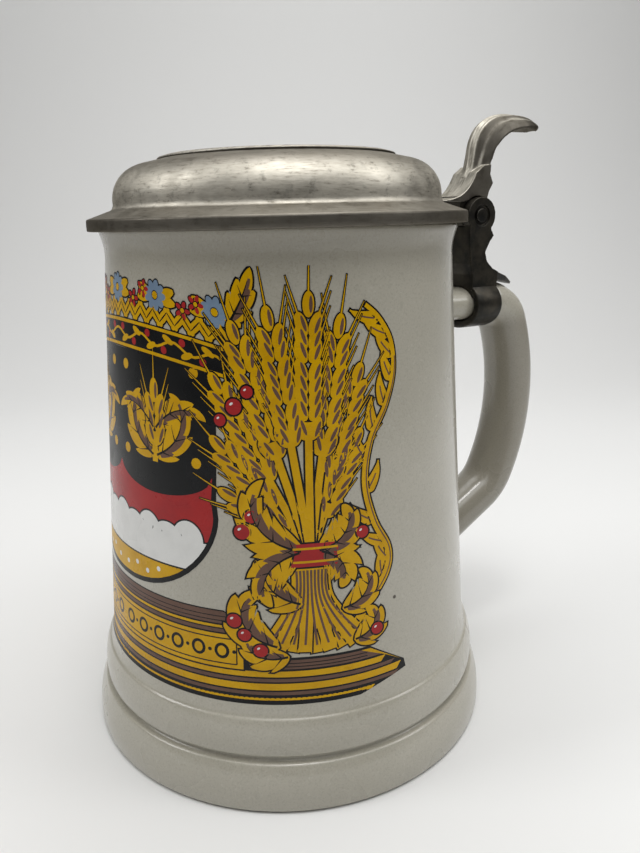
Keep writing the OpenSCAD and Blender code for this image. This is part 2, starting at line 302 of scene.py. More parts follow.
class Nodes:
    """A Principled material with short calls for its nodes."""

    def __init__(self, name, **constants):
        self.material = bpy.data.materials.new(name)
        self.material.use_nodes = True
        self.tree = self.material.node_tree
        self.shader = self.tree.nodes["Principled BSDF"]
        for socket, value in constants.items():
            self.shader.inputs[socket.replace("_", " ")].default_value = value
        coordinates = self.tree.nodes.new("ShaderNodeTexCoord")
        self.place = coordinates.outputs["Object"]
        self.directions = coordinates.outputs["Normal"]

    def feed(self, socket, value):
        """Gives an input a value, or a link when the value is another socket."""
        if isinstance(value, bpy.types.NodeSocket):
            self.tree.links.new(value, socket)
        else:
            socket.default_value = value

    def add(self, kind, **values):
        """A new node, with each value fed to the input of that name."""
        node = self.tree.nodes.new("ShaderNode" + kind)
        for name, value in values.items():
            self.feed(node.inputs[name.replace("_", " ")], value)
        return node

    def scaled(self, x, y, z):
        """Object coordinates times these factors, per metre."""
        return self.add("Mapping", Scale=(x, y, z), Vector=self.place).outputs["Vector"]

    def noise(self, scale, detail=3, rough=0.5, where=None):
        node = self.add("TexNoise", Scale=scale, Detail=detail, Roughness=rough, Vector=where or self.place)
        return node.outputs["Fac"]

    def cells(self, scale):
        return self.add("TexVoronoi", Scale=scale, Vector=self.place).outputs["Distance"]

    def ramp(self, value, a, b, low_value=0.0, high_value=1.0):
        """value mapped from the range a to b to the range low_value to high_value, and clamped."""
        node = self.add("MapRange", Value=value, From_Min=a, From_Max=b, To_Min=low_value, To_Max=high_value)
        node.interpolation_type = "SMOOTHSTEP"
        return node.outputs["Result"]

    def mix(self, factor, first, second):
        """Colour mix; first and second are colours or sockets."""
        node = self.add("Mix", Factor=factor)
        node.data_type = "RGBA"
        for socket, value in ((node.inputs[6], first), (node.inputs[7], second)):
            self.feed(socket, (*value, 1) if isinstance(value, tuple) else value)
        return node.outputs[2]

    def math(self, operation, first, second):
        node = self.add("Math")
        node.operation = operation
        self.feed(node.inputs[0], first)
        self.feed(node.inputs[1], second)
        return node.outputs[0]

    def split(self, vector):
        """The three parts of a vector."""
        return self.add("SeparateXYZ", Vector=vector).outputs

    def facing_up(self):
        """Nearly 1 where the surface faces up; the mask of painted shade on upward faces."""
        return self.ramp(self.split(self.directions)["Z"], 0.45, 0.95, 0, 0.75)

    def shaded_sides(self):
        """1 where the surface faces sideways, down or towards the handle; the mask of painted shade on these
        faces.
        """
        faces = self.split(self.directions)
        side = self.ramp(self.math("ABSOLUTE", faces["Y"], 0), 0.5, 0.8)
        back = self.ramp(faces["X"], 0.25, 0.7)
        under = self.ramp(faces["Z"], -0.25, -0.6)
        return self.math("MAXIMUM", self.math("MAXIMUM", side, back), under)

    def pointiness(self):
        return self.add("NewGeometry").outputs["Pointiness"]

    def bump(self, height, distance, strength=1.0, after=None):
        """Relief of this depth in millimetres, on top of an earlier one where given."""
        node = self.add("Bump", Strength=strength, Distance=distance * MM, Height=height)
        if after is not None:
            self.feed(node.inputs["Normal"], after)
        return node.outputs["Normal"]

    def finish(self, colour, roughness=None, normal=None):
        """The material, once these have been fed to its shader."""
        for value, socket in ((colour, "Base Color"), (roughness, "Roughness"), (normal, "Normal")):
            if value is not None:
                self.feed(self.shader.inputs[socket], value)
        return self.material


def glaze_relief(nodes):
    """The soft orange peel of a fired glaze, shared by the bare wall and the transfer."""
    broad = nodes.bump(nodes.noise(45, 0), 0.03)
    return nodes.bump(nodes.noise(900, 2, 0.5), 0.002, after=broad)


def stoneware(name, start, full, most):
    """Warm grey salt glaze with fine specks, pinholes and slow changes of tone.

    Painted shade darkens it towards brown from the height start to the height full, by the share most.
    """
    nodes = Nodes(name, Coat_Weight=0.5, Coat_Roughness=0.05)
    tone = nodes.mix(nodes.ramp(nodes.noise(28, 3), 0.35, 0.65), (0.42, 0.398, 0.33), (0.455, 0.432, 0.362))
    specks = nodes.ramp(nodes.noise(2300, 3, 0.6), 0.36, 0.5, 1, 0)
    speckled = nodes.mix(nodes.math("MULTIPLY", specks, 0.22), tone, (0.2, 0.18, 0.14))
    light = nodes.ramp(nodes.noise(1500, 2, 0.5), 0.58, 0.72)
    lighter = nodes.mix(nodes.math("MULTIPLY", light, 0.16), speckled, (0.66, 0.65, 0.6))
    holes = nodes.ramp(nodes.cells(95), 0.035, 0.055, 1, 0)
    chosen = nodes.ramp(nodes.noise(31, 1), 0.6, 0.64)
    pinhole = nodes.math("MULTIPLY", holes, chosen)
    height = nodes.split(nodes.place)["Z"]
    # Painted shade: a dark brown mixed in by height, for the shadow under the lid on the body and the shade
    # on the lower handle.
    with_painted_shade = nodes.mix(nodes.ramp(height, start * MM, full * MM, 0, most), lighter, (0.13, 0.112, 0.085))
    colour = nodes.mix(pinhole, with_painted_shade, (0.05, 0.035, 0.02))
    roughness = nodes.ramp(nodes.noise(60, 2), 0.3, 0.7, 0.26, 0.32)
    return nodes.finish(colour, roughness, glaze_relief(nodes))


def enamel(name, colour, second):
    """Fired on-glaze colour: glossy, with slightly uneven density from its printed dots."""
    nodes = Nodes("enamel_" + name, Specular_IOR_Level=0.22)
    uneven = nodes.ramp(nodes.noise(160, 4, 0.6), 0.35, 0.7)
    grain = nodes.ramp(nodes.noise(3000, 2, 0.6), 0.4, 0.7, 0, 0.35)
    base = nodes.mix(nodes.math("MAXIMUM", uneven, grain), colour, second)
    roughness = nodes.ramp(nodes.noise(90, 3), 0.3, 0.7, 0.22, 0.34)
    return nodes.finish(base, roughness, glaze_relief(nodes))


def lathe_marks(nodes):
    """Distance from the axis, and noise drawn out into fine rings round it."""
    x, y, z = nodes.split(nodes.place)
    squares = nodes.math("ADD", nodes.math("MULTIPLY", x, x), nodes.math("MULTIPLY", y, y))
    radius = nodes.math("POWER", squares, 0.5)
    rings = nodes.add("CombineXYZ", X=nodes.math("MULTIPLY", radius, 1900), Y=nodes.math("MULTIPLY", z, 1900),
                      Z=nodes.math("MULTIPLY", nodes.math("ARCTAN2", y, x), 14))
    return radius, nodes.noise(1.0, 4, 0.7, where=rings.outputs["Vector"])


def pewter(name, turned):
    """Satin pewter with tarnish in patches; turned pieces carry fine rings and pits from the lathe."""
    nodes = Nodes(name, Metallic=1.0, Specular_Tint=(0.42, 0.4, 0.37, 1))
    patches = nodes.ramp(nodes.noise(75, 5, 0.65), 0.3, 0.7)
    if turned:
        tone = nodes.mix(patches, (0.42, 0.39, 0.33), (0.57, 0.535, 0.46))
    else:
        tone = nodes.mix(patches, (0.3, 0.28, 0.236), (0.42, 0.395, 0.34))
    spots = nodes.ramp(nodes.noise(420, 4, 0.7), 0.54, 0.66)
    spotted = nodes.mix(nodes.math("MULTIPLY", spots, 0.55), tone, (0.13, 0.118, 0.095))
    if turned:
        radius, lines = lathe_marks(nodes)
        # Painted dark reflection on the flange's outer edge; with the next line, painted shade on the faces
        # that look up.
        edge = nodes.ramp(radius, (FLANGE_R - 0.42) * MM, (FLANGE_R - 0.22) * MM)
        edge = nodes.math("MAXIMUM", edge, nodes.facing_up())
    else:
        lines = nodes.noise(1.0, 3, 0.6, where=nodes.scaled(260, 1500, 260))
        # Painted shade on the faces that look sideways, down or towards the handle.
        edge = nodes.shaded_sides()
    streaked = nodes.mix(nodes.ramp(lines, 0.3, 0.7, 0, 0.6), spotted, (0.68, 0.65, 0.57))
    pits = nodes.ramp(lines, 0.3, 0.42, 0.5, 0)
    pitted = nodes.mix(pits, streaked, (0.1, 0.09, 0.07))
    worn = nodes.mix(nodes.ramp(nodes.pointiness(), 0.52, 0.6, 0, 0.5), pitted, (0.6, 0.58, 0.53))
    # The painted shade is mixed in here as a near-black brown wherever edge is set.
    colour = nodes.mix(nodes.math("MULTIPLY", edge, 0.85), worn, (0.08, 0.071, 0.058))
    roughness = nodes.ramp(nodes.noise(240, 4, 0.6), 0.3, 0.75, 0.44, 0.6)
    fine = nodes.bump(lines, 0.03, 0.8)
    normal = nodes.bump(nodes.noise(380, 4, 0.6), 0.05, 0.6, after=fine)
    return nodes.finish(colour, roughness, normal)


def dark_pewter():
    """Cast pewter under a brown-black patina, rubbed paler along its edges."""
    nodes = Nodes("dark_pewter", Metallic=1.0)
    patches = nodes.ramp(nodes.noise(160, 5, 0.65), 0.3, 0.7)
    tone = nodes.mix(patches, (0.022, 0.022, 0.021), (0.062, 0.055, 0.043))
    edges = nodes.ramp(nodes.pointiness(), 0.52, 0.62, 0, 0.6)
    worn = nodes.mix(edges, tone, (0.2, 0.19, 0.17))
    roughness = nodes.ramp(nodes.noise(300, 4, 0.6), 0.3, 0.7, 0.38, 0.58)
    normal = nodes.bump(nodes.noise(700, 4, 0.6), 0.05, 0.8)
    return nodes.finish(worn, roughness, normal)


def steel():
    """Plain drawn steel for the pin."""
    nodes = Nodes("steel", Metallic=1.0)
    tone = nodes.mix(nodes.ramp(nodes.noise(500, 4), 0.3, 0.7), (0.2, 0.19, 0.18), (0.36, 0.35, 0.34))
    lines = nodes.noise(1.0, 3, 0.6, where=nodes.scaled(2500, 120, 2500))
    roughness = nodes.ramp(lines, 0.3, 0.7, 0.25, 0.45)
    return nodes.finish(tone, roughness, nodes.bump(lines, 0.01, 0.6))


def put(obj, body, material, slot, *nodes):
    """Finishes a piece: its material, the CAD body it rides on and the CAD nodes it stands for; slot is not
    used.
    """
    obj.data.materials.clear()
    obj.data.materials.append(material)
    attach(obj, body)
    if nodes:
        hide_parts(*nodes)
    return obj


# ---------------------------------------------------------------- stoneware

def wall_r(z):
    """Radius of the wall's outer face at height z, as if the cone went on down to the foot."""
    return WALL_HIGH_R + WALL_SLOPE * (WALL_HIGH_Z - z)


def face_r(z):
    """Radius of the outer face at height z, from the band's top upwards."""
    if z >= WALL_LOW_Z:
        return wall_r(z)
    top = BAND_TOP
    bend, rise = top[1] - 2 * FAIR_Z + WALL_LOW_Z, 2 * (FAIR_Z - top[1])
    t = (-rise + math.sqrt(rise ** 2 - 4 * bend * (top[1] - z))) / (2 * bend)
    return (1 - t) ** 2 * top[0] + 2 * t * (1 - t) * wall_r(FAIR_Z) + t * t * WALL_LOW_R


def body_outline():
    """Outside from the foot ring to the lip, then the inside down to the floor, and the foot recess."""
    lip = [(WALL_HIGH_R, WALL_HIGH_Z)]
    lip += curve(lip[0], (WALL_HIGH_R - 0.15, WALL_HIGH_Z + 2.5), (LIP_R, RIM_Z - 1.2), 8)
    lip += arc(LIP_R - 0.9, RIM_Z - 0.9, 0.9, 5, 90, 8)
    outside = arc(FOOT_R - 1.3, 1.3, 1.3, -90, -10, 10)
    outside += arc(FOOT_R - FOOT_CURVE_R, FOOT_BULGE_Z, FOOT_CURVE_R, 1, 26, 22)
    outside += curve(outside[-1], (FOOT_R - 2, 11.4), (FOOT_R - 2.6, 11.5), 6)
    outside += curve(outside[-1], (BAND_R - 1.2, 11.6), (BAND_R - 1.2, 12.3), 6)
    outside += curve(outside[-1], (BAND_R - 1.2, 12.9), (BAND_R - 0.5, 13.1), 5)
    outside += curve(outside[-1], (BAND_R - 0.15, 13.2), (BAND_R - 0.07, 14), 4)
    outside += arc(BAND_R - BAND_CURVE_R, BAND_BULGE_Z, BAND_CURVE_R, -4.5, 22, 22)
    outside += curve(outside[-1], (BAND_R - 1.3, 21.9), (BAND_R - 1.65, 22.1), 6)
    outside += curve(outside[-1], (BAND_R - 2.1, 22.4), (face_r(25.1), 25.1), 10)
    outside += [(face_r(FAIR_Z + rise), FAIR_Z + rise) for rise in [0.3 * k for k in range(8)]]
    outside.append((WALL_LOW_R, WALL_LOW_Z))
    outside += line((wall_r(WALL_LOW_Z), WALL_LOW_Z), (WALL_HIGH_R, WALL_HIGH_Z), 60)
    inner_top = (LIP_R - 5.3, RIM_Z - 0.9)
    inside = arc(inner_top[0] + 0.9, inner_top[1], 0.9, 90, 180, 8)
    corner_z = FLOOR_Z + INNER_CORNER_R
    corner_x = wall_r(corner_z) - WALL_T - INNER_CORNER_R
    inside += line(inside[-1], (corner_x + INNER_CORNER_R, corner_z), 40)
    inside += arc(corner_x, corner_z, INNER_CORNER_R, -6, -90, 14)
    inside += line(inside[-1], (0, FLOOR_Z), 16)
    recess = [(0, RECESS_Z), (20, RECESS_Z), (40, RECESS_Z), (42.4, RECESS_Z - 0.05), (43.4, 2.5),
              (44.4, 0.7), (45.2, 0.1), (46.2, 0)]
    return outside + lip[1:] + inside, recess


def mug_body(material):
    """Turned body with its hollow and the recess under its foot."""
    outline, recess = body_outline()
    obj = revolve("mug_body_piece", outline + recess, 288)
    face_outwards(obj)
    return put(obj, "mug", material, "stoneware", "mug_body")


def handle_stations():
    """Centre line of the handle as (x, z, heading, half thickness, half width), from wall to wall."""
    arcs = ((9, 68.75, 18), (62.3, 47.05, 44), (15, 34.2, 14))
    bend_x = 69.2
    stations = [(42 + 0.5 * i, NECK_Z, 0, NECK_A, NECK_B) for i in range(53)]
    for x, share in ((bend_x - 0.8, 0.25), (bend_x - 0.4, 0.6), (bend_x, 1.0)):
        thick = NECK_A + (GRIP_A - NECK_A) * share
        stations.append((x, NECK_Z, 0, thick, NECK_B + (GRIP_B - NECK_B) * share))
    angle = 90.0
    spot = Vector((bend_x, NECK_Z))
    for radius, turn, n in arcs:
        centre = spot - toward(angle) * radius
        for k in range(1, n + 1):
            spot = centre + toward(angle - turn * k / n) * radius
            stations.append((spot.x, spot.y, angle - turn * k / n - 90, GRIP_A, GRIP_B))
        angle -= turn
    for _ in range(60):
        spot = spot + toward(angle - 90) * 0.5
        stations.append((spot.x, spot.y, angle - 90, GRIP_A, GRIP_B))
        if spot.x < wall_r(spot.y) - 3:
            break
    return stations


def handle(material):
    """Pulled handle with soft ridges along it, luted to the wall with a small fillet."""
    fillet = 4.5
    rings = []
    for x, z, heading, a, b in handle_stations():
        h = math.radians(heading)
        ridged = min(1, max(0, (x - STRAP_X1) / 4)) if z > 90 else 1
        ring = []
        for t in turns(72):
            up, across = math.sin(t), math.cos(t)
            square = (abs(up) ** 2.3 + abs(across) ** 2.3) ** (-1 / 2.3)
            groove = 0.3 * ridged * math.exp(-((abs(across) - 0.5) / 0.14) ** 2) * (up > 0)
            reach = min(square, 1.06) / 1.06 * (1 - groove / a)
            point = Vector((x - a * up * reach * math.sin(h), b * across * reach,
                            z + a * up * reach * math.cos(h)))
            gap = math.hypot(point.x, point.y) - wall_r(point.z)
            if gap < fillet:
                edge = fillet - max(gap, -0.2)
                spread = fillet - math.sqrt(max(fillet ** 2 - min(edge, fillet) ** 2, 0))
                away = Vector((-up * math.sin(h), across, up * math.cos(h))).normalized()
                point += away * spread * 0.55
            ring.append(tuple(point))
        rings.append(ring)
    obj = loft("handle_piece", rings)
    return put(obj, "mug", material, "stoneware", "handle")


# ---------------------------------------------------------------- fired ornament
# Flat shapes are drawn in millimetres: u runs along the wall from the middle of the picture, to the
# right as it is looked at, and z is the height. They are then wrapped round the wall as thin films.

PICTURE_TURN = math.radians(185)
PICTURE_R = 45.5
PICTURE_LOW_Z = low("front_transfer").z
PICTURE_HIGH_Z = high("front_transfer").z
FILM_BASE = 0.012
FILM_STEP = 0.0145
FILM_GRID = 1.1

ENAMELS = {
    "ink": ((0.004, 0.0045, 0.005), (0.008, 0.008, 0.009)),
    "gold": ((0.66, 0.375, 0.0), (0.56, 0.30, 0.0)),
    "brown": ((0.15, 0.082, 0.058), (0.115, 0.064, 0.046)),
    "red": ((0.40, 0.022, 0.022), (0.33, 0.02, 0.022)),
    "blue": ((0.20, 0.28, 0.38), (0.17, 0.24, 0.34)),
    "white": ((0.78, 0.78, 0.76), (0.72, 0.72, 0.70)),
}


def on_wall(u, z, lift):
    """The point on the wall, lifted off it by this much."""
    turn = PICTURE_TURN + u / PICTURE_R
    r = face_r(z) + lift
    return (r * math.cos(turn), r * math.sin(turn), z)


def smooth_line(points, n=8):
    """A smooth line through the points."""
    out = []
    count = len(points)
    for i in range(count - 1):
        p0, p1, p2, p3 = (Vector(points[min(max(k, 0), count - 1)]) for k in (i - 1, i, i + 1, i + 2))
        for k in range(n):
            t = k / n
            out.append(0.5 * (2 * p1 + (p2 - p0) * t + (2 * p0 - 5 * p1 + 4 * p2 - p3) * t * t
                              + (3 * p1 - p0 - 3 * p2 + p3) * t ** 3))
    return out + [Vector(points[-1])]


def curling_line(base, heading, length, curl, n=24, grip=1.6):
    """A line that starts along heading, in degrees, and curls by curl degrees, most of it near its end."""
    points = [Vector(base)]
    for i in range(n):
        t = (i + 0.5) / n
        points.append(points[-1] + toward(heading + curl * t ** grip) * (length / n))
    return points


def sides_of(path):
    """Unit normals to the left of each point of a line."""
    normals = []
    for i in range(len(path)):
        way = path[min(i + 1, len(path) - 1)] - path[max(i - 1, 0)]
        normals.append(Vector((-way.y, way.x)).normalized())
    return normals


def ribbon(path, width):
    """Closed outline of a band along a line; width is a number or a function of the share of its length."""
    last = len(path) - 1
    left, right = [], []
    for i, (p, side) in enumerate(zip(path, sides_of(path))):
        half = (width(i / last) if callable(width) else width) / 2
        left.append(p + side * half)
        right.append(p - side * half)
    return right + left[::-1]


def tapered(width, tip=0.12):
    """Width function of a brush stroke that swells and comes to a point."""
    return lambda t: max(tip * width, width * min(1, 5 * t + 0.3) * (1 - t ** 2.2))


def oval(u, z, a, b, tilt=0, n=22):
    """Closed oval with half axes a along tilt, in degrees, and b across it."""
    along, across = toward(tilt), toward(tilt + 90)
    return [Vector((u, z)) + along * a * math.cos(t) + across * b * math.sin(t) for t in turns(n)]


def corners_of(*points):
    """Points of a flat drawing as vectors."""
    return [Vector(p) for p in points]


def area_of(outline):
    """Area of an outline, negative where it runs clockwise."""
    return sum(p.x * q.y - q.x * p.y for p, q in zip(outline, outline[1:] + outline[:1])) / 2


def grown(outline, edge):
    """The outline moved outwards by edge."""
    points = outline if area_of(outline) > 0 else outline[::-1]
    out = []
    for i, p in enumerate(points):
        before, after = p - points[i - 1], points[(i + 1) % len(points)] - p
        if before.length < 1e-4 or after.length < 1e-4:
            continue
        n1 = Vector((before.y, -before.x)).normalized()
        n2 = Vector((after.y, -after.x)).normalized()
        middle = n1 + n2
        if middle.length < 1e-3:
            middle = before.normalized()
        middle.normalize()
        out.append(p + middle * min(edge / max(middle.dot(n1), 0.3), 2 * edge))
    return out


class Ornament:
    """The picture's shapes, kept by colour and by rank from the wall outwards."""

    def __init__(self):
        self.sheets = {}
        self.mirror = True
        self.sag = 0

    def lay(self, colour, rank, outline):
        """A flat shape, and its mirror image while mirror is on."""
        shapes = self.sheets.setdefault(colour, {}).setdefault(round(rank, 2), [])
        hung = [Vector((p.x, p.y - self.sag * p.x ** 2)) for p in outline]
        shapes.append(hung)
        if self.mirror:
            shapes.append([Vector((-p.x, p.y)) for p in hung])

    def motif(self, rank, colour, outline, edge=0.4):
        """A filled shape with a dark outline under it."""
        self.lay("ink", rank, grown(outline, edge))
        self.lay(colour, rank + 0.35, outline)

    def detail(self, rank, colour, outline):
        """A shape on top of the motifs of its rank."""
        self.lay(colour, rank + 0.7, outline)

    def stroke(self, rank, colour, path, width):
        """A line on top of the motifs of its rank."""
        self.detail(rank, colour, ribbon(path, width))

    def leaf(self, rank, base, heading, length, width, curl, lobes=4):
        """A curling gold leaf with lobed edges, a midrib, side veins and a shaded half."""
        path = curling_line(base, heading, length, curl, 40)
        normals = sides_of(path)
        last = len(path) - 1
        edges = {}
        for side in (-1, 1):
            edge = []
            for i in range(last + 1):
                t = i / last
                swell = math.sin(math.pi * t ** 0.72) ** 0.8 * (1 - 0.35 * t)
                phase = (t * lobes) % 1
                lobe = 0.55 + 0.45 * phase ** 0.6 * (1 - smooth_step(0.86, 1, phase) * 0.75)
                reach = width / 2 * swell * lobe
                ahead = (path[min(i + 1, last)] - path[max(i - 1, 0)]).normalized()
                edge.append(path[i] + normals[i] * side * reach + ahead * reach * 0.5 * phase)
            edges[side] = edge
        self.motif(rank, "gold", edges[-1] + edges[1][::-1][1:-1])
        dark = [p + (q - p) * 0.55 for p, q in zip(path, edges[-1])]
        self.detail(rank, "brown", path[3:last - 6] + dark[3:last - 6][::-1])
        self.stroke(rank + 0.1, "ink", path[1:int(last * 0.8)], lambda t: 0.42 * (1 - t) + 0.12)
        for k in range(1, lobes + 1):
            i = int(last * (k - 0.45) / lobes)
            if i < last * 0.85:
                for side in (-1, 1):
                    tip = path[i] + (edges[side][min(i + 4, last)] - path[i]) * 0.72
                    self.stroke(rank + 0.1, "ink", [path[i], (path[i] + tip) / 2, tip],
                                lambda t: 0.3 * (1 - t) + 0.06)

    def ear(self, rank, base, heading, stalk, grains, bend, size=1.0):
        """A barley ear: its stalk, two rows of grains with a shaded side, and awns."""
        length = stalk + grains * 2.5 * size
        path = curling_line(base, heading, length, bend, 40, 1.3)
        last = len(path) - 1
        start = stalk / length
        self.motif(rank, "gold", ribbon(path[:int(last * start) + 2], 1.3 * size))
        for g in range(grains, -1, -1):
            i = int(last * (start + (1 - start) * g / grains))
            way = path[min(i + 1, last)] - path[max(i - 1, 0)]
            angle = math.degrees(math.atan2(way.y, way.x))
            for side in ((-1, 1) if g < grains else (0,)):
                spot = path[i] + toward(angle + side * 90) * abs(side) * 1.25 * size
                tilt = angle + side * 20
                awn_end = spot + toward(tilt) * (6.6 + 0.25 * g) * size
                self.motif(rank, "gold", ribbon([spot, (spot + awn_end) / 2, awn_end],
                                                lambda t: 0.34 * (1 - t) + 0.1), 0.2)
                self.motif(rank, "gold", oval(spot.x, spot.y, 2.15 * size, 1.05 * size, tilt), 0.32)
                shade = spot + toward(tilt - 90) * 0.45 * size
                self.detail(rank, "brown", oval(shade.x, shade.y, 1.45 * size, 0.33 * size, tilt, 12))

    def berry(self, rank, u, z, r):
        """A round red berry with a small light."""
        self.motif(rank, "red", oval(u, z, r, r), 0.38)
        self.detail(rank, "white", oval(u - 0.3 * r, z + 0.35 * r, 0.26 * r, 0.16 * r, 35, 10))

    def flower(self, rank, u, z, r, petals, colour):
        """An open flower seen from the front, with a gold heart."""
        for k in range(petals):
            tilt = 360 * k / petals
            middle = Vector((u, z)) + toward(tilt) * r
            self.motif(rank, colour, oval(middle.x, middle.y, r * 0.62, r * 0.4, tilt, 12), 0.25)
        self.motif(rank + 0.4, "gold", oval(u, z, r * 0.4, r * 0.4, 0, 12), 0.2)


def course(z0, z1, end0, end1):
    """One layer of the plinth, from just past the picture's middle to its end."""
    return corners_of((-1, z0), (end0, z0), (end1, z1), (-1, z1))


def plinth(art):
    """Stepped base of gold and brown mouldings, with a row of plain discs."""
    bottom = PICTURE_LOW_Z + 0.35
    slab = corners_of((-1, bottom), (60, bottom), (64, 26.6), (71.6, 28.4), (71.2, 30.2), (62.5, 36.2),
                      (-1, 36.2))
    art.lay("ink", 0, grown(slab, 0.3))
    for z0, z1, end, colour in (
            (25.9, 27.0, 64, "gold"), (27.4, 28.2, 70, "brown"), (28.6, 30.2, 70.6, "gold"),
            (30.6, 31.4, 69, "brown"), (31.8, 33.2, 66.5, "gold")):
        art.lay(colour, 0.35, course(z0, z1, end - 1.2, end))
    art.lay("brown", 0.35, corners_of((36.5, 33.7), (65.2, 33.7), (61.8, 35.9), (36.5, 35.9)))
    art.lay("gold", 0.5, corners_of((66.5, 33.2), (70.6, 30.7), (62.8, 35.9), (60.6, 35.9)))
    for z in (34.3, 35.1):
        art.stroke(0, "ink", corners_of((36.5, z), (50, z), (62, z)), 0.22)
    rank, disc_z = 0.9, 37.4
    art.motif(rank, "gold", course(33.4, 41.4, 35.2, 35.2))
    art.motif(rank, "brown", course(41.8, 42.6, 36.8, 36.8), 0.3)
    art.motif(rank, "gold", course(42.9, 43.5, 37.2, 37.2), 0.3)
    art.motif(rank, "brown", course(43.9, 46.8, 36.6, 31), 0.3)
    for z in (44.6, 45.6):
        art.stroke(rank, "ink", corners_of((-1, z), (16, z), (33.4, z)), 0.2)
    for z in (disc_z - 3, disc_z + 3):
        art.stroke(rank, "ink", corners_of((0, z), (16, z), (33.8, z)), 0.3)
    art.stroke(rank, "ink", corners_of((33.8, disc_z - 3), (33.8, disc_z - 0.4), (33.8, disc_z + 3)), 0.3)
    for k in range(6):
        u = 3 + 5.5 * k
        art.detail(rank, "ink", oval(u, disc_z, 1.7, 1.9))
        art.detail(rank + 0.1, "gold", oval(u, disc_z, 1.0, 1.2))
        art.detail(rank, "ink", oval(u + 2.75, disc_z, 0.45, 0.45, 0, 10))


PANEL_HALF = 30
PANEL_LOW_Z, PANEL_TOP_Z = 48.6, 102


def panel_outline(inset=0.0):
    """Round-bottomed panel; inset moves its outline inwards."""
    half, low_z, bulge_z = PANEL_HALF - inset, PANEL_LOW_Z + inset, 68
    right = corners_of((half, PANEL_TOP_Z - inset), (half, 84), (half - 0.4, 72))
    right += [Vector((half * math.cos(a) ** 0.8, bulge_z - (bulge_z - low_z) * math.sin(a) ** 1.15))
              for a in turns(56)[:14]]
    return right + corners_of((0, low_z)) + [Vector((-p.x, p.y)) for p in right[::-1]]


def trimmed(outline, axis, side, limit):
    """The part of a convex outline on one side of a limit in u (axis 0) or in z (axis 1)."""
    out = []
    for p, q in zip(outline, outline[1:] + outline[:1]):
        if side * (p[axis] - limit) >= 0:
            out.append(p)
        if (side * (p[axis] - limit) >= 0) != (side * (q[axis] - limit) >= 0):
            out.append(p + (q - p) * ((limit - p[axis]) / (q[axis] - p[axis])))
    return out


def puff(u, z, half, rise, reach):
    """Upper half of an oval that stands on the height z, kept within reach of the panel's middle."""
    shape = trimmed(oval(u, z, half, rise, 0, 36), 1, 1, z)
    return trimmed(trimmed(shape, 0, 1, -reach), 0, -1, reach)


def panel(art):
    """Undivided panel, alike on both sides: barley sprigs over a red swag and foaming beer."""
    rank, swag_z, foam_z, beer_z = 1.8, 77, 62, 55
    field = panel_outline(0.7)
    half, fold = PANEL_HALF - 0.7, 14.6
    swag = [p for p in trimmed(field, 1, -1, swag_z) if p.y < swag_z - 0.01]
    for k in range(49):
        u = half * (k / 24 - 1)
        drop = 5.5 * math.sqrt(max(0, 1 - ((abs(u) - fold) / (half - fold)) ** 2))
        swag.append(Vector((u, swag_z - drop)))
    art.mirror = False
    art.lay("ink", rank, grown(panel_outline(), 0.5))
    art.lay("red", rank + 0.35, swag)
    art.lay("ink", rank + 0.5, trimmed(field, 1, -1, foam_z + 0.4))
    art.lay("white", rank + 0.7, trimmed(field, 1, -1, foam_z))
    for k in range(-4, 5):
        u, rise = 5.7 * k, (4.6, 3.4)[k % 2]
        art.lay("ink", rank + 0.5, puff(u, foam_z, 4.4, rise + 0.4, 27.2))
        art.lay("white", rank + 0.7, puff(u, foam_z, 4, rise, 26.8))
    art.lay("ink", rank + 0.85, trimmed(field, 1, -1, beer_z + 0.4))
    art.lay("gold", rank + 1.0, trimmed(field, 1, -1, beer_z))
    art.mirror = True
    for u, z in ((2.4, 51.6), (6.6, 52.8), (10.6, 51.9), (14.4, 53.4)):
        art.lay("white", rank + 1.15, oval(u, z, 0.6, 0.6, 0, 12))
    sprig(art, rank + 0.7)


def sprig(art, rank):
    """Gold barley sprig with scrolling leaves, and dots in the corners, on the black of the panel."""
    for u, z, heading, length, width, curl in (
            (14.4, 80, 24, 19, 9, 130), (14.2, 80, 156, 19, 9, -130),
            (14.4, 86, 48, 16, 7.5, -95), (14.2, 86, 132, 16, 7.5, 95)):
        art.leaf(rank, (u, z), heading, length, width, curl, 4)
    art.ear(rank + 0.4, (14.3, 78.6), 90, 6.5, 3, 0, 1.25)
    for u, z in ((3.6, 99), (25.4, 99), (3.6, 79.8), (25.6, 79.8)):
        art.motif(rank, "gold", oval(u, z, 1.2, 1.2, 0, 14), 0.2)


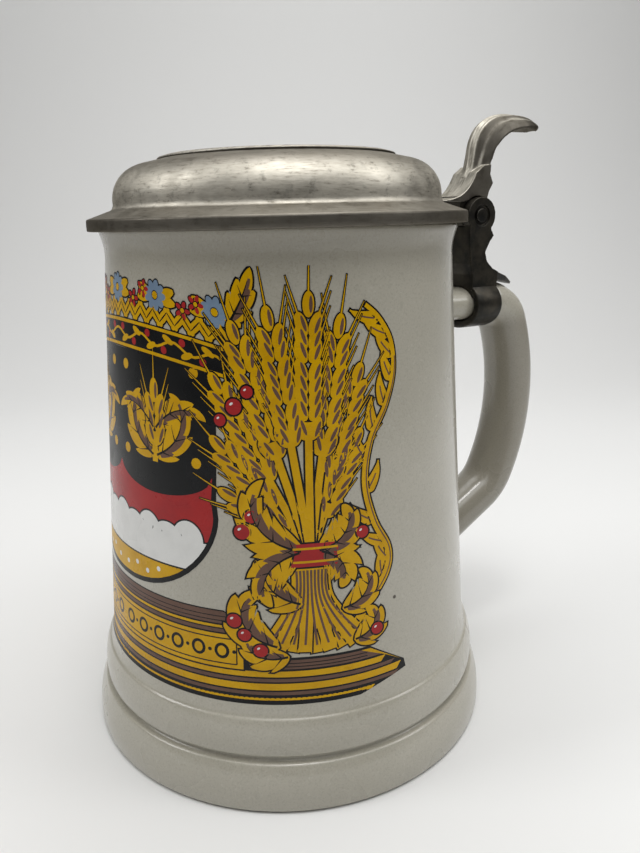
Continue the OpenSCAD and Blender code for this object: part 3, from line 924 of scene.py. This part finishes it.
def garland(art):
    """Garland hung over the panel: a band with a running vine, a row of leaves, and loose field flowers."""
    rank, rise = 2.9, 102.9
    band_z, leaves_z, top = rise + 3, rise + 8.5, rise + 13.2
    art.mirror = False
    art.sag = 0.0042
    art.lay("ink", rank, ribbon(corners_of(*[(u, band_z) for u in range(-34, 35, 2)]), 6.6))
    for z in (band_z - 2.7, band_z + 2.7):
        art.lay("gold", rank + 0.35, ribbon(corners_of(*[(u, z) for u in range(-33, 34, 3)]), 0.7))
    art.mirror = True
    vine = corners_of(*[(u, band_z + 0.9 * math.cos(u * 0.62)) for u in range(33)])
    art.lay("gold", rank + 0.5, ribbon(vine, 0.55))
    for k in range(6):
        u, side = 2.5 + 5.07 * k, (1, -1)[k % 2]
        art.lay("gold", rank + 0.5, oval(u + 1.2, band_z - 1.1 * side, 1.6, 0.7, 25 * side, 14))
        art.lay("red", rank + 0.5, oval(u, band_z + 1.3 * side, 0.85, 0.85, 0, 14))
    for k in range(16):
        u, tilt = 1 + 2.1 * k, (48, -48)[k % 2]
        art.motif(rank, "gold", oval(u, leaves_z, 2.7, 1.0, tilt, 18), 0.35)
        art.detail(rank, "ink", oval(u, leaves_z, 1.7, 0.16, tilt, 8))
    for k in (0, 1, 2):
        art.mirror = k > 0
        u = 15.4 * k
        for heading in (22, 158, -6, 186):
            way = toward(heading)
            leaf = curling_line((u + 1.6 * way.x, top - 1 + 1.2 * way.y), heading, 4.2, 0, 12)
            outline = ribbon(leaf, lambda t: 2.2 * math.sin(math.pi * (0.12 + 0.82 * t)) ** 0.7)
            art.motif(rank, "gold", outline, 0.35)
        art.flower(rank + 0.15, u, top - 0.6, 2.0, 9, "blue")
    art.mirror = True
    for u, z in ((7.7, top - 2.2), (23.1, top - 2.2), (11.4, top + 0.2), (26.4, top - 0.2)):
        art.flower(rank + 0.3, u, z, 1.2, 5, "red")
    art.leaf(rank, (34.1, top - 1.6), 62, 13, 7, 18, 3)
    art.sag = 0


def sheaf(art):
    """Barley sheaf beside the panel, tied with a red band, with scrolling leaves at its foot."""
    tie = Vector((50, 60))
    for heading, stalk, grains, bend, rank in (
            (133, 10, 4, 20, 3.9), (124, 16, 5, 10, 3.9), (115, 21, 7, 6, 4.2), (72, 12, 5, -12, 3.9),
            (77, 19, 7, -8, 4.2), (106, 26, 8, 4, 4.6), (83, 25, 8, -4, 4.6), (90, 29, 8, -2, 5.0),
            (98, 27, 8, 2, 5.0)):
        art.ear(rank, tie, heading, stalk, grains, bend, 1.2)
    for base_u, heading, length, curl in (
            (48.5, 165, 23, -130), (51.5, 14, 14, 125), (48, 198, 17, 120), (52, -20, 12, -120)):
        art.leaf(5.3, (base_u, tie.y + 1), heading, length, 11, curl, 5)
    skirt = 9
    for k in range(skirt):
        share = 2 * k / (skirt - 1) - 1
        foot = Vector((tie.x + 1 + share * 11, 37.4 + 1.2 * abs(share)))
        bend = Vector((tie.x + share * 3.6, 50))
        path = smooth_line([tuple(tie + Vector((share * 3.4, 0))), tuple(bend), tuple(foot)], 10)
        art.motif(4.2 + 0.3 * (k % 2), "gold", ribbon(path, lambda t: 1.9 + 1.0 * t), 0.34)
        art.stroke(4.2 + 0.3 * (k % 2), "brown", path[4:-2], 0.5)
    for base, heading, length, width, curl in (
            ((43, 39), 165, 20, 11, -170), ((59, 39), 10, 11, 9, 160), ((45, 36.8), 196, 13, 8, -120),
            ((48, 49), 165, 18, 10, -150), ((56.5, 47), 10, 13, 8.5, 150)):
        art.leaf(4.9, base, heading, length, width, curl, 4)
    middle = tie.y + 0.2
    art.motif(5.6, "red", corners_of((45.7, middle - 2.6), (56.3, middle - 2.6), (55.6, middle),
                                     (56.3, middle + 2.6), (45.7, middle + 2.6), (46.4, middle)))
    for z in (middle - 1.5, middle + 1.5):
        art.stroke(5.6, "gold", corners_of((46.2, z), (51, z), (55.8, z)), 0.5)
    for u, z, r in (
            (33.4, 45, 1.6), (35.6, 41.8, 1.4), (37.6, 69, 1.4), (35.6, 65.6, 1.7), (64.5, 40.4, 1.4),
            (61.5, 64, 1.4), (39, 38.2, 1.5), (34.5, 92.5, 1.7), (37.4, 95.6, 1.3), (31.4, 89.6, 1.3)):
        art.berry(5.6, u, z, r)


def tendril(art):
    """Hop tendril at the outer side: an S-shaped stem with pointed leaves along it."""
    stem = smooth_line([(58, 41), (62.5, 47), (67.2, 53.5), (67.8, 59), (64.4, 66), (62.4, 75), (64, 84),
                        (68, 91), (70.4, 98), (70, 104.5), (67, 109.5), (63.6, 112.4)])
    for i in range(14, len(stem) - 4, 6):
        way = stem[i + 1] - stem[i]
        heading = math.degrees(math.atan2(way.y, way.x))
        side = 1 if (i // 6) % 3 else -1
        if side < 0 and stem[i].x > 66:
            side = 1
        path = curling_line(stem[i], heading + side * 46, 7.5, -side * 34, 18)
        art.motif(3.6, "gold", ribbon(path, tapered(2.9)), 0.36)
        art.stroke(3.6, "brown", path[3:12], 0.35)
    art.motif(3.9, "gold", ribbon(stem, lambda t: 1.9 - 1.0 * t), 0.36)
    art.stroke(3.9, "brown", [p + Vector((0.35, 0)) for p in stem[6:-20]], 0.3)


def film_mesh(name, sheets):
    """One mesh of all the films of a colour, wrapped round the wall."""
    corners, faces = [], []
    for rank, outlines in sorted(sheets.items()):
        points, loops, boxes = [], [], []
        for outline in outlines:
            loop = []
            ordered = outline if area_of(outline) > 0 else outline[::-1]
            for p, q in zip(ordered, ordered[1:] + ordered[:1]):
                steps = max(1, math.ceil((q - p).length / FILM_GRID))
                for k in range(steps):
                    spot = p + (q - p) * k / steps
                    spot.y = min(max(spot.y, PICTURE_LOW_Z), PICTURE_HIGH_Z)
                    loop.append(len(points))
                    points.append(spot)
            loops.append(loop)
            boxes.append((min(p.x for p in outline), max(p.x for p in outline),
                          min(p.y for p in outline), max(p.y for p in outline)))
        grid = set()
        for u0, u1, z0, z1 in boxes:
            for i in range(math.ceil(u0 / FILM_GRID), math.floor(u1 / FILM_GRID) + 1):
                for k in range(math.ceil(z0 / FILM_GRID), math.floor(z1 / FILM_GRID) + 1):
                    grid.add((i, k))
        points += [Vector((i * FILM_GRID, k * FILM_GRID)) for i, k in sorted(grid)]
        spots, _, triangles, _, _, sources = delaunay_2d_cdt(points, [], loops, 1, 1e-5)
        first = len(corners)
        corners += [on_wall(p.x, p.y, FILM_BASE + rank * FILM_STEP) for p in spots]
        faces += [[first + i for i in triangle] for triangle, source in zip(triangles, sources) if source]
    obj = make_mesh(name, corners, faces)
    reshape(obj, clean_film)
    return obj


def clean_film(work):
    """Drops the corners that no triangle uses and turns every triangle away from the wall."""
    bmesh.ops.delete(work, geom=[v for v in work.verts if not v.link_faces], context="VERTS")
    for face in work.faces:
        middle = face.calc_center_median()
        if face.normal.x * middle.x + face.normal.y * middle.y < 0:
            face.normal_flip()


def ornament():
    """Every film of the picture, one piece for each colour."""
    art = Ornament()
    plinth(art)
    panel(art)
    garland(art)
    sheaf(art)
    tendril(art)
    for colour, (first, second) in ENAMELS.items():
        obj = film_mesh("transfer_" + colour, art.sheets[colour])
        put(obj, "mug", enamel(colour, first, second), "enamel", "front_transfer")


# ---------------------------------------------------------------- lid

def seated(obj):
    """Tilts a piece of the lid about the far side of the rim, so that its hinge side sits higher."""
    centre = Vector((-LIP_R, 0, FLANGE_Z)) * MM
    turn = Matrix.Rotation(math.radians(-LID_TILT), 4, "Y")
    obj.data.transform(Matrix.Translation(centre) @ turn @ Matrix.Translation(-centre))
    obj.data.update()


def lid(material):
    """Turned dome and flange, hollow underneath, with a recess that laps over the rim."""
    outside = [(FLANGE_R - 0.3, FLANGE_Z), (FLANGE_R - 0.09, FLANGE_Z + 0.09), (FLANGE_R, FLANGE_Z + 0.3),
               (FLANGE_R, FLANGE_Z + 1.2), (FLANGE_R - 0.03, FLANGE_TOP_Z - 0.5),
               (FLANGE_R - 0.1, FLANGE_TOP_Z - 0.18), (FLANGE_R - 0.3, FLANGE_TOP_Z)]
    outside += line(outside[-1], (DOME_R + 1.1, DOME_FOOT_Z), 12)
    outside += curve(outside[-1], (DOME_R + 0.15, DOME_FOOT_Z + 0.2), (DOME_R, DOME_FOOT_Z + 1.35), 6)
    outside += arc(DOME_R - SHOULDER_R, SHOULDER_Z, SHOULDER_R, 0, 80, 40)
    outside += line(outside[-1], (DISC_R - 0.3, CROWN_Z), 6)
    outside += line(outside[-1], (0, CROWN_Z), 16)
    inside = line((0, CROWN_Z - SHELL_T), (DISC_R, CROWN_Z - SHELL_T), 16)
    inner_r = DOME_R - SHELL_T
    inside += arc(DOME_R - SHOULDER_R, SHOULDER_Z, SHOULDER_R - SHELL_T, 80, 0, 30)
    inside += [(inner_r, 130), (inner_r, SEAT_Z + 0.4), (inner_r + 0.4, SEAT_Z), (LAP_R - 0.1, SEAT_Z),
               (LAP_R, SEAT_Z - 0.1), (LAP_R, FLANGE_Z + 0.15), (LAP_R + 0.15, FLANGE_Z)]
    obj = revolve("lid_piece", outside + [(0, CROWN_Z - SHELL_T)] + inside, 288)
    face_outwards(obj)
    seated(obj)
    return put(obj, "lid", material, "pewter", "lid")


def relief_height(r, theta):
    """Height of the medallion above its disc: plain rim, leaf wreath, and a rosette in the middle."""
    bead = 0.32 * smooth_step(1.0, 0.55, abs(r - (DISC_R - 1.8)))
    ring = 0.25 * math.exp(-((r - (DISC_R - 3.3)) / 0.3) ** 2)
    leaf = 0
    for rank, (leaves, middle, lean) in enumerate(((30, 22.2, 0.55), (30, 18.6, -0.55))):
        turn = 2 * math.pi / leaves
        side = ((theta / turn + 0.5 * rank + lean * (r - middle) / (r * turn)) % 1 - 0.5) * turn * r
        length = (r - middle) / 3.0
        half = 1.9 * max(0, 1 - length ** 2) ** 0.8
        if half > 0 and abs(side) < half:
            dome = (1 - (side / half) ** 2) ** 0.5
            vein = 0.22 * math.exp(-(side / 0.16) ** 2)
            leaf = max(leaf, 0.65 * dome - vein * dome)
    stem = 0.3 * math.exp(-((r - 20.4) / 0.45) ** 2)
    petals = 8
    swing = abs(((theta * petals / (2 * math.pi)) % 1) - 0.5) * 2
    edge = 6.2 + 4.3 * (1 - swing ** 2.2)
    petal = 0.7 * smooth_step(edge, edge - 1.6, r) * (1 - 0.5 * math.exp(-((1 - swing) * r / 1.2) ** 2))
    heart = 0.75 * max(0, 1 - (r / 3.4) ** 2) ** 0.5
    line_ring = 0.28 * math.exp(-((r - 13.4) / 0.35) ** 2)
    return max(bead, ring, leaf, stem, petal * (r > 0.1), heart, line_ring)


def medallion(material):
    """Thin disc with low relief on its top."""
    around, steps = 540, 96
    base_z = CROWN_Z + 0.5
    circles = [((DISC_R - 0.15) * i / steps, base_z) for i in range(1, steps + 1)]
    edge = [(DISC_R, base_z - 0.15), (DISC_R, CROWN_Z + 0.1), (DISC_R - 0.1, CROWN_Z + 0.01)]
    corners = [(0, 0, base_z + 0.75), (0, 0, CROWN_Z + 0.01)]
    for i, (r, z) in enumerate(circles + edge):
        for a in turns(around):
            rise = relief_height(r, a) if i < steps else 0
            corners.append((r * math.cos(a), r * math.sin(a), z + rise))
    rings = [2 + around * i for i in range(steps + len(edge))]
    faces = []
    for k in range(around):
        j = (k + 1) % around
        faces.append([0, rings[0] + k, rings[0] + j])
        faces.append([1, rings[-1] + j, rings[-1] + k])
        for lower, upper in zip(rings, rings[1:]):
            faces.append([lower + k, upper + k, upper + j, lower + j])
    obj = make_mesh("medallion_piece", corners, faces)
    seated(obj)
    return put(obj, "lid", material, "pewter", "lid_medallion")


def lid_arm(material):
    """Flat bar on the flange that ends in the lid's knuckle."""
    plan = both_sides([(37, -ARM_HALF), (53.4, -ARM_HALF), (54.4, -ARM_HALF + 1)])
    obj = plan_prism("lid_arm_piece", plan, FLANGE_TOP_Z, ARM_TOP_Z)
    tongue = block("tongue", 50, PIVOT_X, TONGUE_HALF, ARM_UNDER_Z + 0.05, ARM_TOP_Z)
    saddle = block("saddle", 54, 64, TONGUE_HALF - 0.5, ARM_TOP_Z - 1.4, ARM_TOP_Z + 1.3)
    combine(obj, [tongue, saddle, drum("knuckle", KNUCKLE_R, -TONGUE_HALF, TONGUE_HALF)], "UNION")
    under = block("under", FLANGE_R + 0.05, 56, 9, 120, ARM_UNDER_Z)
    room = revolve("room", [(0, FLANGE_Z), (FLANGE_R, FLANGE_Z), (FLANGE_R, FLANGE_TOP_Z - 0.3),
                            (DOME_R + 0.8, DOME_FOOT_Z - 0.15), (DOME_R - 0.4, DOME_FOOT_Z + 1.45),
                            (DOME_R - 0.4, 140), (0, 140)], 144)
    seated(room)
    combine(obj, [under, room, drum("bore", PIN_R + 0.05, -9, 9)], "DIFFERENCE")
    cast(obj, 0.2, 2)
    return put(obj, "lid", material, "dark_pewter", "lid_arm")


def lift_line(start, *bends):
    """Side line of the thumblift's leaf, from its start through three curves to the tip."""
    points = [start]
    for (pull, end), n in zip(bends, (16, 48, 26)):
        points += curve(points[-1], pull, end, n)
    return points


def lift_leaf():
    """Fluted leaf with a U section, full in front and hollow behind."""
    across = 41
    rings = []
    front = lift_line((59.7, 140.6), ((60.9, 143.4), (61.2, 147)), ((62.1, LIFT_TOP_Z), (75.5, LIFT_TOP_Z)),
                      ((85.3, LIFT_TOP_Z), (LIFT_TIP_X, 154.8)))
    back = lift_line((65.6, 142.2), ((65.9, 146), (68.2, 149.2)), ((72.6, 153.6), (79.2, 153.8)),
                     ((82.4, 154), (LIFT_TIP_X - 1.0, 153.9)))
    for i, (f, b) in enumerate(zip(front, back)):
        s = i / (len(front) - 1)
        taper = 1 - smooth_step(0.72, 1.0, s) * 0.42 - 0.2 * max(0, s - 0.94) / 0.06
        half = LIFT_HALF * (0.93 + 0.07 * smooth_step(0, 0.3, s)) * taper
        f, b = Vector(f), Vector(b)
        depth = max((b - f).length, 0.6)
        way = (b - f).normalized()
        shell = min(1.5, depth * 0.75)
        ring_front, ring_back = [], []
        for k in range(across):
            v = -1 + 2 * k / (across - 1)
            flute = 0.42 * (0.5 - 0.5 * math.cos(v * math.pi * 5)) * smooth_step(0, 0.08, s)
            flute *= 1 - smooth_step(0.8, 1.0, s)
            bend = (depth - shell) * abs(v) ** 2.2
            lip = 0.25 * math.exp(-(s / 0.035) ** 2)
            start = f + way * (min(bend + flute, depth - shell * 0.4) - lip)
            end = f + way * min(bend + shell + 0.1, depth)
            ring_front.append((start.x, half * v, start.y))
            ring_back.append((end.x, half * v * 0.985, end.y))
        rings.append(ring_front + ring_back[::-1])
    return loft("thumblift_piece", rings)


def lift_foot():
    """Solid foot under the leaf: a dished spatula in front, and the heel's point behind."""
    toe = (50.5, ARM_TOP_Z + 0.25)
    front = [(50.7, ARM_TOP_Z - 0.5), toe] + curve(toe, (57, 134.5), (60.2, 141.6), 24)
    outline = front + [(63, 143.6), (65.6, 143.8), (65.4, 141.2), (66.6, 138.9), (65.2, 136.6), (64.6, 134.6)]
    outline += arc(PIVOT_X, PIVOT_Z, KNUCKLE_R + 0.3, 50, 130, 8)
    outline += [(57.2, ARM_TOP_Z), (54, ARM_TOP_Z - 0.5)]
    obj = prism("lift_foot", outline, -LIFT_HALF, LIFT_HALF)
    plan = both_sides([(49.5, -1.8), (52, -3.6), (55, -4.7), (58, -LIFT_HALF), (67, -LIFT_HALF)])
    combine(obj, [plan_prism("plan", plan, 130, 150)], "INTERSECT")
    return obj


def thumblift(material):
    """Leaf and foot in one casting."""
    obj = lift_leaf()
    combine(obj, [lift_foot()], "UNION")
    cast(obj, 0.16, 3)
    return put(obj, "lid", material, "pewter", "thumblift")


# ---------------------------------------------------------------- hinge on the mug

def hinge_shank(material):
    """Upright with a fork for the lid's knuckle and a pointed tail over the handle."""
    inner = [(58.4, 107), (58.4, 113.6), (57.5, 116.6), (57, 120.6), (56.7, 125), (56.7, 130)]
    outer = [(65.2, 128.2), (64.6, 126.4), (65.8, 124.4), (64.3, 122.6), (62.8, 119.8),
             (63.7, 117.2), (66, 115.2), (69, 113.9), (75, 112.4), (80.2, 110.3),
             (79.6, 109.7), (75, 110.8), (69, 111.6), (67.9, 111.4), (67.9, 107)]
    obj = prism("hinge_shank_piece", inner + outer, -HINGE_HALF, HINGE_HALF)
    plan = both_sides([(55, -HINGE_HALF), (67.9, -HINGE_HALF), (74, -4.4), (80.2, -0.6)])
    combine(obj, [plan_prism("plan", plan, 100, 140)], "INTERSECT")
    combine(obj, [drum("ears", KNUCKLE_R, -HINGE_HALF, HINGE_HALF)], "UNION")
    slot = TONGUE_HALF + 0.15
    cuts = [drum("room", KNUCKLE_R + 0.3, -slot, slot),
            block("gap", 50, 72, slot, PIVOT_Z, 140),
            drum("bore", PIN_R, -9, 9)]
    groove_r, groove_y, tight = 2.95, HINGE_HALF - 0.8, 0.98
    cuts += [drum("groove", groove_r, -9, -groove_y), drum("groove", groove_r, groove_y, 9)]
    rings = [[(x, NECK_B * tight * math.cos(t), NECK_Z + NECK_A * tight * math.sin(t)) for t in turns(72)]
             for x in (50, 75)]
    cuts.append(loft("neck_room", rings))
    combine(obj, cuts, "DIFFERENCE")
    cast(obj, 0.18, 3)
    return put(obj, "mug", material, "dark_pewter", "hinge_shank")


def handle_strap(material):
    """Oval band closed round the handle's neck."""
    section = rounded([(STRAP_X0, 0), (STRAP_X1, 0), (STRAP_X1, 1), (STRAP_X0, 1)], 0.6)
    rings = []
    for t in turns(120) + [0]:
        ring = []
        for x, share in section:
            grow = 0.03 + share * (STRAP_T - 0.03)
            ring.append((x, (NECK_B + grow) * math.cos(t), NECK_Z + (NECK_A + grow) * math.sin(t)))
        rings.append(ring)
    obj = loft("handle_strap_piece", rings, close_ends=False)
    reshape(obj, lambda work: bmesh.ops.remove_doubles(work, verts=work.verts, dist=1e-7))
    face_outwards(obj)
    return put(obj, "mug", material, "dark_pewter", "handle_strap")


def turned_on_hinge(name, outline, side=1):
    """A turned piece along the hinge line, from (radius, distance along the line) points."""
    obj = revolve(name, outline, 64)
    for vertex in obj.data.vertices:
        x, y, z = vertex.co
        vertex.co = Vector((PIVOT_X * MM + x, side * z, PIVOT_Z * MM + y))
    face_outwards(obj)
    return obj


def hinge_pin(material):
    """Plain pin with small chamfers."""
    outline = [(0, -PIN_END), (PIN_R - 0.2, -PIN_END), (PIN_R, -PIN_END + 0.2),
               (PIN_R, PIN_END - 0.2), (PIN_R - 0.2, PIN_END), (0, PIN_END)]
    obj = turned_on_hinge("hinge_pin_piece", outline)
    return put(obj, "mug", material, "steel", "hinge_pin")


def pin_cap(name, side, material, node):
    """Slightly domed cap over one end of the pin."""
    outline = [(0, PIN_END), (CAP_R, PIN_END), (CAP_R, CAP_END - 0.3), (CAP_R - 0.12, CAP_END - 0.12)]
    outline += [(CAP_R * 0.9 * toward(a).x, CAP_END - 0.12 + 0.12 * toward(a).y) for a in (10, 30, 50, 70)]
    outline.append((0, CAP_END))
    obj = turned_on_hinge(name, outline, side)
    return put(obj, "mug", material, "dark_pewter", node)


# ---------------------------------------------------------------- stage, in metres

CAMERA_TURN = -118
CAMERA_AWAY, CAMERA_Z = 0.18676, 0.1284


def studio():
    """Pale seamless paper, curved up behind the stein."""
    bend_r = 0.35
    sweep = [(-0.6, 0), (bend_r, 0)] + arc(bend_r, bend_r, bend_r, -90, 0, 16)[1:] + [(2 * bend_r, 1.6)]
    corners, faces = [], []
    away = toward(CAMERA_TURN + 180).to_3d()
    side = Vector((-away.y, away.x, 0))
    for d, z in sweep:
        for s in (-1.4, 1.4):
            corners.append(tuple((away * d + side * s + Vector((0, 0, z))) / MM))
    for i in range(len(sweep) - 1):
        faces.append([2 * i, 2 * i + 1, 2 * i + 3, 2 * i + 2])
    floor = make_mesh("floor", corners, faces)
    nodes = Nodes("paper", Roughness=0.75)
    tone = nodes.mix(nodes.noise(2, 2), (0.77, 0.77, 0.76), (0.8, 0.8, 0.79))
    floor.data.materials.append(nodes.finish(tone))


def soft_light(name, place, target, size, power):
    """White rectangular lamp at place, aimed at target."""
    light = bpy.data.lights.new(name, "AREA")
    light.shape = "RECTANGLE"
    light.size, light.size_y = size
    light.energy = power
    obj = bpy.data.objects.new(name, light)
    obj.location = place
    obj.rotation_euler = (Vector(target) - Vector(place)).to_track_quat("-Z", "Y").to_euler()
    bpy.context.scene.collection.objects.link(obj)


def lights():
    """Overhead softbox with a smaller lamp in it, weak ones in front and at the sides, and a dim room."""
    world = bpy.data.worlds.new("room")
    bpy.context.scene.world = world
    world.use_nodes = True
    background = world.node_tree.nodes["Background"].inputs
    background["Color"].default_value = (1, 0.99, 0.97, 1)
    background["Strength"].default_value = 0.11
    soft_light("top", (0.11, 0.02, 0.72), (0, 0, 0.05), (0.8, 0.8), 4.5)
    soft_light("spot_top", (-0.02, -0.1, 0.75), (0, 0, 0.05), (0.12, 0.12), 0.6)
    soft_light("front_top", (-0.2, -0.38, 0.66), (0, 0, 0.06), (0.5, 0.3), 0.7)
    soft_light("left", (-0.46, 0.16, 0.48), (0, 0, 0.12), (0.2, 0.3), 1.0)
    soft_light("right", (0.38, -0.34, 0.48), (0, 0, 0.12), (0.2, 0.3), 0.7)


def camera():
    """The photograph's viewpoint, level with the rim and looking down at the body."""
    pitch, yaw, roll = (math.radians(a) for a in (15.762, 2.893, -0.699))
    data = bpy.data.cameras.new("camera")
    data.lens = 30.387
    data.sensor_width = 36
    data.clip_start = 0.01
    obj = bpy.data.objects.new("camera", data)
    outward = toward(CAMERA_TURN).to_3d()
    sideways = toward(CAMERA_TURN + 90).to_3d()
    right = sideways * math.cos(yaw) + outward * math.sin(yaw)
    level = -outward * math.cos(yaw) + sideways * math.sin(yaw)
    ahead = level * math.cos(pitch) - Vector((0, 0, math.sin(pitch)))
    up = right.cross(ahead)
    right_rolled = right * math.cos(roll) + up * math.sin(roll)
    up_rolled = up * math.cos(roll) - right * math.sin(roll)
    place = outward * CAMERA_AWAY + Vector((0, 0, CAMERA_Z))
    rows = zip(right_rolled, up_rolled, -ahead, place)
    obj.matrix_world = Matrix([*rows, (0, 0, 0, 1)])
    bpy.context.scene.collection.objects.link(obj)
    bpy.context.scene.camera = obj


turned_pewter = pewter("turned_pewter", True)
cast_pewter = pewter("cast_pewter", False)
patina = dark_pewter()

# Painted shadow on the body: darker from 115 mm up to just under the rim, below the lid's flange.
mug_body(stoneware("body_glaze", 115, RIM_Z - 1, 0.4))
# Painted shade on the handle: darker from its neck downwards.
handle(stoneware("handle_glaze", NECK_Z, NECK_Z - 8, 0.5))
ornament()
lid(turned_pewter)
medallion(cast_pewter)
lid_arm(patina)
thumblift(cast_pewter)
hinge_shank(patina)
handle_strap(patina)
hinge_pin(steel())
pin_cap("pin_cap_front_piece", -1, patina, "pin_cap_front")
pin_cap("pin_cap_back_piece", 1, patina, "pin_cap_back")

studio()
lights()
camera()
bpy.context.scene.view_settings.view_transform = "Standard"
